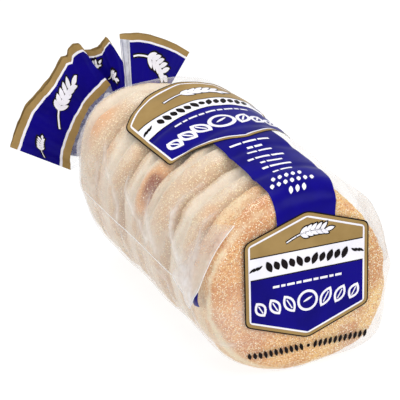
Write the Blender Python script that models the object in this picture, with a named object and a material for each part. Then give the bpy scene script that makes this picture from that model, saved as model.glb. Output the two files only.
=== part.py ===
"""A clear film bag of six English muffins that stand on edge in one row, with its neck gathered in a clip.

The bag lies on its side. +Z is up, and +Y runs along the row, from the printed end panel to the gathered
neck and the flared mouth. The origin is under the middle of the row, in the middle of the flat strip that
the bag rests on. Lengths below are in millimetres, and angles are in degrees from straight up towards +X.
The bag is one closed solid out to the film, and its contents aren't cut out of it.
"""

import math

import bmesh
import bpy

MM = 0.001

# The row of muffins inside the bag
MUFFIN_DIAMETER = 92.0
MUFFIN_THICKNESS = 25.4
MUFFIN_COUNT = 6
AXIS_HEIGHT = 46.5
RIM_SWELLS = (0.2, -0.5, 0.4, -0.3, 0.5, 0.0)
ROW_BACK = MUFFIN_COUNT * MUFFIN_THICKNESS / 2
ROW_FRONT = -ROW_BACK

# The film round the row
FILM_GAP = 1.3
BODY_RADIUS = MUFFIN_DIAMETER / 2 + FILM_GAP
END_ROUNDING = 12.0
PANEL_Y = ROW_FRONT - 1.0
DIP_DEPTH = 1.3
DIP_WIDTH = 3.2
STATIONS_PER_MUFFIN = 5

# Where the film stands off from the row: (angle, width, distance at the end panel, distance at the shoulder)
SLACK_BULGES = (
    (42.0, 34.0, 3.4, 4.5),
    (5.0, 30.0, 0.0, 2.0),
    (132.0, 22.0, 8.0, 2.5),
    (-132.0, 24.0, 1.2, 1.2),
    (-70.0, 30.0, 0.0, 3.0),
)
UNDERSIDE_WIDTH = 28.0
UNDERSIDE_SLACK = 0.9
SIDE_ANGLE = 90.0
# The last muffins swell out and back at their upper left: the angle, the spread, where it starts and is full
REAR_ANGLE = -40.0
REAR_SPREAD = 29.0
REAR_START = 25.0
REAR_FULL = 70.0
REAR_OUT = 6.6
REAR_BACK = 5.8
# On top the film is drawn taut: the angle, the spread, and the share of each dip that it takes away
TAUT_ANGLE = 14.0
TAUT_WIDTH = 40.0
TAUT_SHARE = 0.7
FOLD_RIDGE = 1.0
FOLD_WIDTH = 5.0
EAR_REACH = 1.6
EAR_LENGTH = 34.0
EAR_WIDTH = 14.0

# Where the end panel's edge is a sharp fold and not a round corner: (angle, width, share held out)
SHARP_EDGES = (
    (-90.0, 14.0, 0.15),
    (-80.0, 30.0, 0.68),
    (50.0, 26.0, 0.7),
    (92.0, 30.0, 0.65),
    (132.0, 24.0, 0.7),
)

# The shoulder, where the film gathers, and the neck in the clip
SHOULDER_ARC = 65.0
SHOULDER_POWER = 1.4
SHOULDER_STATIONS = 9
CORNER_STATIONS = 4
PANEL_STATIONS = 5
NECK_STATIONS = 2
PLEAT_COUNT = 9
PLEAT_DEPTH = 0.09
NECK_X = -3.0
NECK_Z = 45.0
NECK_RADIUS = 4.5
NECK_START = 100.6
NECK_END = 106.0
NECK_TWIST = -18.5

# The flared mouth, from right to left: (angle, reach, distance past the neck) at the edge, then halfway in
MOUTH_SPOKES = (
    ((46.4, 58.0, 18.0), (52.0, 33.0, 10.0)),
    ((29.0, 58.5, 16.5), (36.0, 33.0, 9.0)),
    ((17.0, 57.5, 17.5), (20.0, 32.0, 10.0)),
    ((2.0, 55.5, 20.0), (6.0, 31.0, 11.0)),
    ((-5.5, 55.5, 15.5), (-3.0, 31.0, 9.0)),
    ((-9.0, 59.0, 13.0), (-7.0, 32.0, 8.0)),
    ((-14.0, 53.5, 16.0), (-12.0, 31.0, 10.0)),
    ((-18.5, 53.5, 19.0), (-18.0, 31.0, 11.0)),
    ((-22.0, 60.0, 12.5), (-24.0, 32.0, 8.0)),
    ((-25.5, 63.0, 11.5), (-28.0, 33.0, 8.0)),
    ((-29.5, 61.5, 13.5), (-34.0, 33.0, 9.0)),
    ((-33.5, 57.0, 17.0), (-40.0, 33.0, 10.0)),
    ((-46.0, 58.0, 14.5), (-55.0, 34.0, 9.0)),
    ((-62.5, 61.5, 12.0), (-78.0, 35.0, 8.0)),
    ((-84.0, 65.7, 14.0), (-109.0, 37.0, 9.0)),
)
HALFWAY = 0.55
MOUTH_LAYER_GAP = 4.0
TAIL_STATIONS = 9
NARROW_POWER = 1.3

# The closure clip, a flat plate with a keyhole round the neck
CLIP_WIDTH = 22.0
CLIP_HEIGHT = 28.0
CLIP_THICKNESS = 1.2
CLIP_Y = 103.4
CLIP_ABOVE_NECK = 8.5
CLIP_CORNER = 2.5
CLIP_SLOT_WIDTH = 3.0
CLIP_GAP = 0.3
CLIP_CORNER_STEPS = 4
CLIP_HOLE_STEPS = 28

# Points round the bag: an even number, because half of them lie on the mouth's upper layer
RING_POINTS = 64
HALF_RING = RING_POINTS // 2


def smooth(value):
    """Eases 0 to 1."""
    value = min(1.0, max(0.0, value))
    return value * value * (3 - 2 * value)


def bump(offset, width):
    """A bell of height 1 at offset 0."""
    return math.exp(-((offset / width) ** 2))


def angle_gap(a, b):
    """The signed angle from b to a, between -180 and 180."""
    return (a - b + 180.0) % 360.0 - 180.0


def ring_angle(k):
    """Point k's angle: 90 at the right side fold, then over the top to -90 at the left, then underneath."""
    return SIDE_ANGLE - 180.0 * k / HALF_RING


def dip(y):
    """How far the film sinks in between two muffins."""
    seams = range(1, MUFFIN_COUNT)
    return DIP_DEPTH * sum(bump(y - ROW_FRONT - n * MUFFIN_THICKNESS, DIP_WIDTH) for n in seams)


def swell(y):
    """How much larger or smaller than the rest the muffin at y is."""
    middles = [ROW_FRONT + (n + 0.5) * MUFFIN_THICKNESS for n in range(MUFFIN_COUNT)]
    return sum(size * bump(y - middle, MUFFIN_THICKNESS / 2) for size, middle in zip(RIM_SWELLS, middles))


def rear(angle, y):
    """The share of its full swelling that the row's rear has here."""
    along = smooth((y - REAR_START) / (REAR_FULL - REAR_START))
    return bump(angle_gap(angle, REAR_ANGLE), REAR_SPREAD) * along


def film_radius(angle, y):
    """The film's distance from the row's axis, before the ends are rounded."""
    along = (y - PANEL_Y) / (ROW_BACK - PANEL_Y)
    slack = REAR_OUT * rear(angle, y)
    for middle, width, at_panel, at_shoulder in SLACK_BULGES:
        slack += (at_panel + (at_shoulder - at_panel) * along) * bump(angle_gap(angle, middle), width)
    side = abs(abs(angle_gap(angle, 0.0)) - SIDE_ANGLE)
    towards_panel = smooth((PANEL_Y + EAR_LENGTH - y) / EAR_LENGTH)
    ridge = FOLD_RIDGE * bump(side, FOLD_WIDTH)
    ear = EAR_REACH * towards_panel * bump(side, EAR_WIDTH)
    under = bump(angle_gap(angle, 180.0), UNDERSIDE_WIDTH)
    taut = 1 - TAUT_SHARE * bump(angle_gap(angle, TAUT_ANGLE), TAUT_WIDTH)
    draped = BODY_RADIUS + (swell(y) - dip(y) * taut) * (1 - under) + UNDERSIDE_SLACK * under
    return draped + slack + ridge + ear


def held_out(angle):
    """The share of the panel's rounding that a sharp fold takes away at this angle."""
    total = 0.0
    for middle, width, share in SHARP_EDGES:
        total += share * bump(angle_gap(angle, middle), width)
    return min(1.0, total)


def ring(y, inset=0.0, at_panel=False):
    """Points round the body at y. A flat strip is left where the film would reach below the floor."""
    points = []
    for k in range(RING_POINTS):
        angle = ring_angle(k)
        rounding = 1.0 - held_out(angle) if at_panel else 1.0
        radius = film_radius(angle, y) - inset * rounding
        turn = math.radians(angle)
        height = AXIS_HEIGHT + radius * math.cos(turn)
        points.append((radius * math.sin(turn), y + REAR_BACK * rear(angle, y), max(0.0, height)))
    return points


def front_rings():
    """The end panel's edge and the round corner behind it."""
    rings = []
    for i in range(PANEL_STATIONS):
        turn = math.radians(90.0 * (1 - i / PANEL_STATIONS))
        y = PANEL_Y + END_ROUNDING * (1 - math.sin(turn))
        rings.append(ring(y, END_ROUNDING * (1 - math.cos(turn)), True))
    return rings


def body_rings():
    """The straight part of the row."""
    start = PANEL_Y + END_ROUNDING
    end = ROW_BACK - END_ROUNDING
    steps = MUFFIN_COUNT * STATIONS_PER_MUFFIN
    return [ring(start + (end - start) * i / steps) for i in range(steps + 1)]


def shoulder_rings():
    """The round corner over the last muffin, then the film that gathers towards the neck."""
    rings = []
    for i in range(1, CORNER_STATIONS + 1):
        turn = math.radians(SHOULDER_ARC * i / CORNER_STATIONS)
        y = ROW_BACK - END_ROUNDING + (END_ROUNDING + FILM_GAP) * math.sin(turn)
        rings.append(ring(y, END_ROUNDING * (1 - math.cos(turn))))
    last = rings[-1]
    for i in range(1, SHOULDER_STATIONS + 1):
        rings.append(gathered_ring(last, i / SHOULDER_STATIONS))
    return rings


def gathered_ring(last, share):
    """The ring a given share of the way from the last full ring to the neck."""
    pull = (1 - share) ** SHOULDER_POWER
    points = []
    for k, (x, start_y, z) in enumerate(last):
        angle = ring_angle(k)
        y = start_y + (NECK_START - start_y) * share
        pleat = 1 + PLEAT_DEPTH * math.sin(math.pi * share) * math.cos(math.radians(PLEAT_COUNT * angle))
        turn = math.radians(angle + NECK_TWIST * smooth(share))
        neck_x = NECK_X + NECK_RADIUS * math.sin(turn)
        neck_z = NECK_Z + NECK_RADIUS * math.cos(turn)
        points.append((neck_x + (x * pleat - neck_x) * pull, y, neck_z + (z - neck_z) * pull))
    return points


def neck_rings():
    """The straight round neck that the clip grips."""
    rings = []
    for i in range(1, NECK_STATIONS + 1):
        y = NECK_START + (NECK_END - NECK_START) * i / NECK_STATIONS
        rings.append([neck_point(k, y) for k in range(RING_POINTS)])
    return rings


def neck_point(k, y):
    """Point k of the neck at y."""
    turn = math.radians(ring_angle(k) + NECK_TWIST)
    return (NECK_X + NECK_RADIUS * math.sin(turn), y, NECK_Z + NECK_RADIUS * math.cos(turn))


def spoke_end(polar):
    """A spoke's point from its angle, reach and distance past the neck."""
    angle, reach, past_neck = polar
    turn = math.radians(angle)
    return (NECK_X + reach * math.sin(turn), NECK_END + past_neck, NECK_Z + reach * math.cos(turn))


def blend(a, b, share):
    """The point at a share of the way from a to b."""
    return tuple(p + (q - p) * share for p, q in zip(a, b))


def spoke_at(share):
    """The edge and halfway points at a share of the mouth's length, from the right fold to the left one."""
    ends = [(spoke_end(edge), spoke_end(halfway)) for edge, halfway in MOUTH_SPOKES]
    lengths = [math.dist(a[0], b[0]) for a, b in zip(ends, ends[1:])]
    left = share * sum(lengths)
    for a, b, length in zip(ends, ends[1:], lengths):
        if left <= length:
            return [blend(p, q, left / length) for p, q in zip(a, b)]
        left -= length
    return ends[-1]


def tail_point(k, t):
    """Point k of the tail, a share t of the way from the neck to the mouth. The lower layer lies behind."""
    upper = k <= HALF_RING
    share = (k if upper else RING_POINTS - k) / HALF_RING
    edge, halfway = spoke_at(share)
    neck = neck_point(k, NECK_END)
    if t < HALFWAY:
        part = t / HALFWAY
        x, _, z = blend(neck, halfway, part ** NARROW_POWER)
        y = neck[1] + (halfway[1] - neck[1]) * (1 - (1 - part) ** 2)
    else:
        x, y, z = blend(halfway, edge, (t - HALFWAY) / (1 - HALFWAY))
    gap = 0.0 if upper else MOUTH_LAYER_GAP * math.sqrt(math.sin(math.pi * share)) * smooth(t / HALFWAY)
    return (x, y + gap, z)


def tail_rings():
    """The film past the neck: it leaves along +Y and flares out to the mouth."""
    steps = range(1, TAIL_STATIONS + 1)
    return [[tail_point(k, i / TAIL_STATIONS) for k in range(RING_POINTS)] for i in steps]


def skin(bm, rings):
    """Joins the rings with quads, and returns their vertices."""
    rows = [[bm.verts.new([value * MM for value in point]) for point in points] for points in rings]
    for near, far in zip(rows, rows[1:]):
        for k in range(RING_POINTS):
            after = (k + 1) % RING_POINTS
            bm.faces.new((near[k], far[k], far[after], near[after]))
    return rows


def close_mouth(bm, row):
    """Closes the mouth's thin edge between its two layers."""
    bm.faces.new((row[0], row[RING_POINTS - 1], row[1]))
    for k in range(1, HALF_RING - 1):
        bm.faces.new((row[k], row[RING_POINTS - k], row[RING_POINTS - k - 1], row[k + 1]))
    bm.faces.new((row[HALF_RING - 1], row[HALF_RING + 1], row[HALF_RING]))


def build_object(name, bm, color, roughness):
    """Turns a bmesh into an object with its own material."""
    mesh = bpy.data.meshes.new(name)
    bm.to_mesh(mesh)
    bm.free()
    material = bpy.data.materials.new(name)
    material.use_nodes = True
    shader = material.node_tree.nodes["Principled BSDF"]
    shader.inputs["Base Color"].default_value = (*color, 1.0)
    shader.inputs["Roughness"].default_value = roughness
    mesh.materials.append(material)
    mesh.shade_smooth()
    mesh.set_sharp_from_angle(angle=math.radians(40))
    piece = bpy.data.objects.new(name, mesh)
    bpy.context.collection.objects.link(piece)
    return piece


def build_bag():
    """The bag out to its film: end panel, body, shoulder, neck and flared mouth."""
    bm = bmesh.new()
    rings = front_rings() + body_rings() + shoulder_rings() + neck_rings() + tail_rings()
    rows = skin(bm, rings)
    bm.faces.new(rows[0])
    close_mouth(bm, rows[-1])
    return build_object("bag", bm, (0.83, 0.70, 0.55), 0.35)


def clip_outline():
    """The clip's edge in X and Z about the neck's centre, from the slot's right lip round to its left lip."""
    top = CLIP_ABOVE_NECK
    bottom = CLIP_ABOVE_NECK - CLIP_HEIGHT
    half = CLIP_WIDTH / 2
    slot = CLIP_SLOT_WIDTH / 2
    corner_turns = ((0, 1, 1), (90, 1, -1), (180, -1, -1), (270, -1, 1))
    points = [(slot, top)]
    for start, side_x, side_z in corner_turns:
        centre_x = side_x * (half - CLIP_CORNER)
        centre_z = (top if side_z > 0 else bottom) - side_z * CLIP_CORNER
        for i in range(CLIP_CORNER_STEPS + 1):
            turn = math.radians(start + 90 * i / CLIP_CORNER_STEPS)
            points.append((centre_x + CLIP_CORNER * math.sin(turn), centre_z + CLIP_CORNER * math.cos(turn)))
    points.append((-slot, top))
    hole = NECK_RADIUS + CLIP_GAP
    lip = math.degrees(math.asin(slot / hole))
    for i in range(CLIP_HOLE_STEPS + 1):
        turn = math.radians(-lip - (360 - 2 * lip) * i / CLIP_HOLE_STEPS)
        points.append((hole * math.sin(turn), hole * math.cos(turn)))
    return points


def build_clip():
    """A flat plastic bread clip that hangs from the neck, with its slot at the top."""
    bm = bmesh.new()
    front = CLIP_Y - CLIP_THICKNESS / 2
    outline = [
        bm.verts.new(((NECK_X + x) * MM, front * MM, (NECK_Z + z) * MM)) for x, z in clip_outline()
    ]
    face = bm.faces.new(outline)
    extruded = bmesh.ops.extrude_face_region(bm, geom=[face])
    moved = [item for item in extruded["geom"] if isinstance(item, bmesh.types.BMVert)]
    bmesh.ops.translate(bm, verts=moved, vec=(0, CLIP_THICKNESS * MM, 0))
    bmesh.ops.recalc_face_normals(bm, faces=bm.faces)
    return build_object("closure_clip", bm, (0.92, 0.92, 0.90), 0.4)


def main():
    for piece in list(bpy.data.objects):
        bpy.data.objects.remove(piece)
    build_bag()
    build_clip()


main()
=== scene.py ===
import math
import random

import bmesh
import bpy
import numpy as np
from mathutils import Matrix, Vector, noise


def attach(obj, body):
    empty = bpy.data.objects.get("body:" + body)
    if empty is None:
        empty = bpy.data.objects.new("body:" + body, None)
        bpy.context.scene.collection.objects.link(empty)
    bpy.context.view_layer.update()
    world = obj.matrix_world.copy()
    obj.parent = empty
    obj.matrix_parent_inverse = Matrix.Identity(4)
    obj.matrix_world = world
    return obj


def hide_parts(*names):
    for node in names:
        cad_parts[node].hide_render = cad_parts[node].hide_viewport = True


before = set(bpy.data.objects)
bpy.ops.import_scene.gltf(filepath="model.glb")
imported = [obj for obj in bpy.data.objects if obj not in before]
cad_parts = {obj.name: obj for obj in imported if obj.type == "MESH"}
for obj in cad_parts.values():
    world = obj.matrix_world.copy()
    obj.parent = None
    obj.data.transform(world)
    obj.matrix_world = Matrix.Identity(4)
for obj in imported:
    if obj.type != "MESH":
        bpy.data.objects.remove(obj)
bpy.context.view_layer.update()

# Lengths below are in millimetres, and angles are in degrees from straight up towards +X.
MM = 0.001

# ---------------------------------------------------------------- the bag's shape, as in the CAD model
MUFFIN_RADIUS = 46.0
MUFFIN_THICKNESS = 25.4
MUFFIN_COUNT = 6
AXIS_HEIGHT = 46.5
RIM_SWELLS = (0.2, -0.5, 0.4, -0.3, 0.5, 0.0)
ROW_BACK = MUFFIN_COUNT * MUFFIN_THICKNESS / 2
ROW_FRONT = -ROW_BACK
FILM_GAP = 1.3
BODY_RADIUS = MUFFIN_RADIUS + FILM_GAP
END_ROUNDING = 12.0
PANEL_Y = ROW_FRONT - 1.0
DIP_DEPTH = 1.3
DIP_WIDTH = 3.2
SLACK_BULGES = (
    (42.0, 34.0, 3.4, 4.5),
    (5.0, 30.0, 0.0, 2.0),
    (132.0, 22.0, 8.0, 2.5),
    (-132.0, 24.0, 1.2, 1.2),
    (-70.0, 30.0, 0.0, 3.0),
)
UNDERSIDE_WIDTH = 28.0
REAR_ANGLE = -40.0
REAR_SPREAD = 29.0
REAR_START = 25.0
REAR_FULL = 70.0
REAR_OUT = 6.6
REAR_BACK = 5.8
TAUT_ANGLE = 14.0
TAUT_WIDTH = 40.0
TAUT_SHARE = 0.7
UNDERSIDE_SLACK = 0.9
SIDE_ANGLE = 90.0
FOLD_RIDGE = 1.0
FOLD_WIDTH = 5.0
EAR_REACH = 1.6
EAR_LENGTH = 34.0
EAR_WIDTH = 14.0
SHARP_EDGES = (
    (-90.0, 14.0, 0.15),
    (-80.0, 30.0, 0.68),
    (50.0, 26.0, 0.7),
    (92.0, 30.0, 0.65),
    (132.0, 24.0, 0.7),
)
SHOULDER_ARC = 65.0
SHOULDER_POWER = 1.4
PLEAT_COUNT = 9
PLEAT_DEPTH = 0.09
NECK_X = -3.0
NECK_Z = 45.0
NECK_RADIUS = 4.5
NECK_START = 100.6
NECK_END = 106.0
NECK_TWIST = -18.5

# The film's length along the bag: it equals y on the straight part, and runs on round both ends
BODY_START = PANEL_Y + END_ROUNDING
BODY_END = ROW_BACK - END_ROUNDING
CORNER_ARC = END_ROUNDING * math.pi / 2
PANEL_EDGE = BODY_START - CORNER_ARC
SHOULDER_LENGTH = 14.4
ARC_PER_DEGREE = 0.83
PANEL_LEAN = 0.03
LEAN_REACH = 26.0

# ---------------------------------------------------------------- camera
CAMERA_TARGET = Vector((-22.475, -16.28, 68.895)) * MM
CAMERA_AZIMUTH = math.radians(-25.943)
CAMERA_ELEVATION = math.radians(25.499)
CAMERA_DISTANCE = 919.7 * MM
CAMERA_LENS = 172.78


def smooth(value):
    value = np.clip(value, 0.0, 1.0)
    return value * value * (3 - 2 * value)


def bump(offset, width):
    return np.exp(-((offset / width) ** 2))


def angle_gap(a, b):
    return (a - b + 180.0) % 360.0 - 180.0


def srgb(red, green, blue):
    """Linear colour from 0-255 sRGB."""
    out = []
    for value in (red, green, blue):
        value = value / 255
        out.append(value / 12.92 if value <= 0.04045 else ((value + 0.055) / 1.055) ** 2.4)
    return (*out, 1.0)


# ---------------------------------------------------------------- the film's surface
def dip(y):
    total = 0.0
    for n in range(1, MUFFIN_COUNT):
        total = total + bump(y - ROW_FRONT - n * MUFFIN_THICKNESS, DIP_WIDTH)
    return DIP_DEPTH * total


def swell(y):
    total = 0.0
    for n, size in enumerate(RIM_SWELLS):
        total = total + size * bump(y - ROW_FRONT - (n + 0.5) * MUFFIN_THICKNESS, MUFFIN_THICKNESS / 2)
    return total


def slack_at(angle, y):
    """How far the film hangs loose from the row."""
    along = (y - PANEL_Y) / (ROW_BACK - PANEL_Y)
    slack = 0.0
    for middle, width, at_panel, at_shoulder in SLACK_BULGES:
        slack = slack + (at_panel + (at_shoulder - at_panel) * along) * bump(angle_gap(angle, middle), width)
    return slack


def rear(angle, y):
    """The share of its full swelling that the row's rear has here: it is largest at its upper left."""
    along = smooth((y - REAR_START) / (REAR_FULL - REAR_START))
    return bump(angle_gap(angle, REAR_ANGLE), REAR_SPREAD) * along


def film_radius(angle, y):
    slack = slack_at(angle, y) + REAR_OUT * rear(angle, y)
    side = np.abs(np.abs(angle_gap(angle, 0.0)) - SIDE_ANGLE)
    towards_panel = smooth((PANEL_Y + EAR_LENGTH - y) / EAR_LENGTH)
    ridge = FOLD_RIDGE * bump(side, FOLD_WIDTH)
    ear = EAR_REACH * towards_panel * bump(side, EAR_WIDTH)
    under = bump(angle_gap(angle, 180.0), UNDERSIDE_WIDTH)
    taut = 1 - TAUT_SHARE * bump(angle_gap(angle, TAUT_ANGLE), TAUT_WIDTH)
    draped = BODY_RADIUS + (swell(y) - dip(y) * taut) * (1 - under) + UNDERSIDE_SLACK * under
    return draped + slack + ridge + ear


def held_out(angle):
    total = 0.0
    for middle, width, share in SHARP_EDGES:
        total = total + share * bump(angle_gap(angle, middle), width)
    return np.minimum(1.0, total)


# Folds and creases in the film: (height, width, haze, ((angle, length along the bag), ...)). The haze along a fold is
# partly the folded film's milkiness and partly a painted highlight, white where the fold would catch the light.
CREASES = (
    (0.7, 1.3, 0.42, ((-60, -25), (-67, -29), (-71, -32.4), (-76, -38), (-83, -48.5), (-85.5, -59.5))),
    (0.5, 1.2, 0.36, ((-45, -53), (-50, -50.6), (-57, -51), (-65, -57), (-75, -59), (-84, -59.8))),
    (0.6, 1.2, 0.30, ((-38, -30.6), (-46, -26.5), (-54, -24.6), (-62, -25.6), (-67, -29))),
    (0.5, 1.2, 0.30, ((-57, 48), (-67.5, 38.8), (-72, 31.5), (-79, 26.5), (-88, 22))),
    (0.5, 1.2, 0.34, ((-62.7, 22), (-69, 19.5), (-75, 9.5), (-79, 1.6), (-84.4, -12))),
    (0.4, 1.3, 0.30, ((-60, -1), (-66.5, -4.8), (-74, -8.6), (-80, -14), (-86, -20.8))),
    (0.4, 1.0, 0.25, ((-103, -58), (-110, -60), (-114, -66), (-119, -72), (-124, -79))),
    (0.4, 1.0, 0.20, ((-98, -20), (-108, -30), (-118, -40))),
    (0.4, 1.0, 0.18, ((-97, 20), (-106, 26), (-120, 24))),
    (0.5, 1.2, 0.30, ((60, -24), (70, -32), (80, -46), (92, -62))),
    (0.5, 1.2, 0.30, ((50, -50), (66, -56), (82, -60), (96, -66))),
    (0.4, 1.2, 0.25, ((70, 40), (76, 22), (82, 4), (88, -16))),
)
# Gentle ripples: (height, whole waves round the bag, waves per millimetre along it, phase)
RIPPLES = (
    (0.10, 5, 0.018, 0.4),
    (0.08, 9, -0.031, 1.9),
    (0.06, 14, 0.027, 3.1),
    (0.05, 23, 0.012, 5.2),
    (0.04, 31, -0.052, 0.9),
)


# Along the side folds the film runs nearly straight over the dips
BRIDGE_SHARE = 0.85
BRIDGE_WIDTH = 7.0


def polyline_distance(angle, s, points):
    arc = angle * ARC_PER_DEGREE
    best = np.full(np.shape(arc), 1e9)
    for (a0, s0), (a1, s1) in zip(points, points[1:]):
        x0 = a0 * ARC_PER_DEGREE
        dx = a1 * ARC_PER_DEGREE - x0
        ds = s1 - s0
        t = np.clip(((arc - x0) * dx + (s - s0) * ds) / (dx * dx + ds * ds), 0, 1)
        best = np.minimum(best, np.hypot(arc - x0 - t * dx, s - s0 - t * ds))
    return best


def relief(angle, s):
    """How far the folds and ripples stand off the smooth film."""
    height = 0.0
    turn = np.radians(angle)
    for size, waves, along, phase in RIPPLES:
        height = height + size * np.sin(waves * turn + 2 * math.pi * along * s + phase)
    for size, width, _, points in CREASES:
        height = height + size * bump(polyline_distance(angle, s, points), width)
    from_fold = np.abs(np.abs(angle_gap(angle, 0.0)) - SIDE_ANGLE)
    height = height + BRIDGE_SHARE * dip(s) * bump(from_fold, BRIDGE_WIDTH)
    on_panel = smooth((s - PANEL_EDGE + 4) / 12)
    near_ends = 1 - smooth((s - BODY_END) / SHOULDER_LENGTH)
    return height * on_panel * near_ends


def lean(y, z):
    """How far back the leaning end panel is at this height."""
    fade = 1 - smooth((y - PANEL_Y) / LEAN_REACH)
    return PANEL_LEAN * (z - AXIS_HEIGHT) * fade


def film(angle, s, lift=0.0):
    """Points of the film at an angle and a length along the bag, as an N by 3 array."""
    angle, s, lift = np.broadcast_arrays(np.asarray(angle, float), np.asarray(s, float), lift)
    front = np.radians(np.clip((BODY_START - s) / CORNER_ARC, 0, 1) * 90)
    back = np.radians(np.clip((s - BODY_END) / SHOULDER_LENGTH, 0, 1) * SHOULDER_ARC)
    y = np.clip(s, BODY_START, BODY_END)
    y = np.where(s < BODY_START, PANEL_Y + END_ROUNDING * (1 - np.sin(front)), y)
    y = np.where(s > BODY_END, BODY_END + (END_ROUNDING + FILM_GAP) * np.sin(back), y)
    inset = END_ROUNDING * (1 - np.cos(front)) * (1 - held_out(angle))
    inset = inset + END_ROUNDING * (1 - np.cos(back))
    over_panel = np.maximum(0.0, PANEL_EDGE - s)
    radius = np.maximum(0.0, film_radius(angle, y) - inset - over_panel)
    out = relief(angle, s) + lift
    tilt = front - back
    radial = np.cos(tilt)
    turn = np.radians(angle)
    r = radius + out * radial
    y = y - out * np.sin(tilt) + REAR_BACK * rear(angle, y)
    z = np.maximum(0.0, AXIS_HEIGHT + r * np.cos(turn))
    return np.stack((r * np.sin(turn), y + lean(y, z), z), axis=-1)


def room_inside(angle, y):
    """The largest radius that stays under the film, round the corners too."""
    front = np.clip((BODY_START - y) / END_ROUNDING, 0, 1)
    back = np.clip((y - BODY_END) / (END_ROUNDING + FILM_GAP), 0, 0.9)
    inset = END_ROUNDING * (1 - np.sqrt(1 - front ** 2)) * (1 - held_out(angle))
    inset = inset + END_ROUNDING * (1 - np.sqrt(1 - back ** 2))
    return film_radius(angle, np.clip(y, PANEL_Y, ROW_BACK)) - inset - 0.85


def edge_radius(angle):
    """The end panel's radius at this angle."""
    return film_radius(angle, PANEL_Y) - END_ROUNDING * (1 - held_out(angle))


def panel_chart(x, z, lift):
    """The film where the end panel's x and z lie: past its edge the chart runs on round the corner."""
    angle = np.degrees(np.arctan2(x, z - AXIS_HEIGHT))
    r = np.hypot(x, z - AXIS_HEIGHT)
    return film(angle, PANEL_EDGE + r - edge_radius(angle), lift)


def body_chart(arc, s, lift):
    """The film at an arc length from the top line and a length along the bag."""
    return film(arc / ARC_PER_DEGREE, s, lift)


def strip_chart(x, s, lift):
    """The film at a fixed x and a length along the bag, on from the top over the end panel's edge."""
    capped = np.maximum(s, PANEL_EDGE)
    angle = np.degrees(np.arcsin(np.clip(x / 47.5, -1, 1)))
    for _ in range(6):
        r = np.hypot(film(angle, capped)[..., 0], film(angle, capped)[..., 2] - AXIS_HEIGHT)
        angle = np.degrees(np.arcsin(np.clip(x / r, -0.999, 0.999)))
    down = np.maximum(0.0, PANEL_EDGE - s)
    z_edge = AXIS_HEIGHT + edge_radius(angle) * np.cos(np.radians(angle))
    on_panel = panel_chart(x, z_edge - down, lift)
    on_body = film(angle, capped, lift)
    return np.where((down > 0)[..., None], on_panel, on_body)


# ---------------------------------------------------------------- mesh helpers
def make_piece(name, points, faces, materials, face_material=None, attributes=None, is_smooth=True):
    mesh = bpy.data.meshes.new(name)
    mesh.from_pydata((np.asarray(points) * MM).tolist(), [], faces)
    for material in materials:
        mesh.materials.append(material)
    if face_material is not None:
        mesh.polygons.foreach_set("material_index", np.asarray(face_material, np.int32))
    for key, values in (attributes or {}).items():
        layer = mesh.attributes.new(key, "FLOAT", "POINT")
        layer.data.foreach_set("value", np.asarray(values, np.float32))
    if is_smooth:
        mesh.shade_smooth()
    mesh.update()
    piece = bpy.data.objects.new(name, mesh)
    bpy.context.collection.objects.link(piece)
    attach(piece, "root")
    return piece


def grid_faces(rows, columns, closed):
    """Quads of a grid whose points are stored row by row."""
    faces = []
    for i in range(rows - 1):
        for k in range(columns if closed else columns - 1):
            after = (k + 1) % columns
            near, far = i * columns, (i + 1) * columns
            faces.append((near + k, near + after, far + after, far + k))
    return faces


def tube(points, radius, sides=6):
    """Points and faces of a thin round tube along a line of points."""
    points = [Vector(p) for p in points]
    rows = []
    for i, point in enumerate(points):
        along = (points[min(i + 1, len(points) - 1)] - points[max(i - 1, 0)]).normalized()
        side = along.cross(Vector((0.3, 0.2, 1.0))).normalized()
        other = along.cross(side)
        size = radius * (0.35 if i in (0, len(points) - 1) else 1.0)
        for k in range(sides):
            turn = 2 * math.pi * k / sides
            rows.append(point + side * (size * math.cos(turn)) + other * (size * math.sin(turn)))
    faces = grid_faces(len(points), sides, True)
    faces.append(tuple(range(sides))[::-1])
    last = (len(points) - 1) * sides
    faces.append(tuple(range(last, last + sides)))
    return [tuple(p) for p in rows], faces


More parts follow.
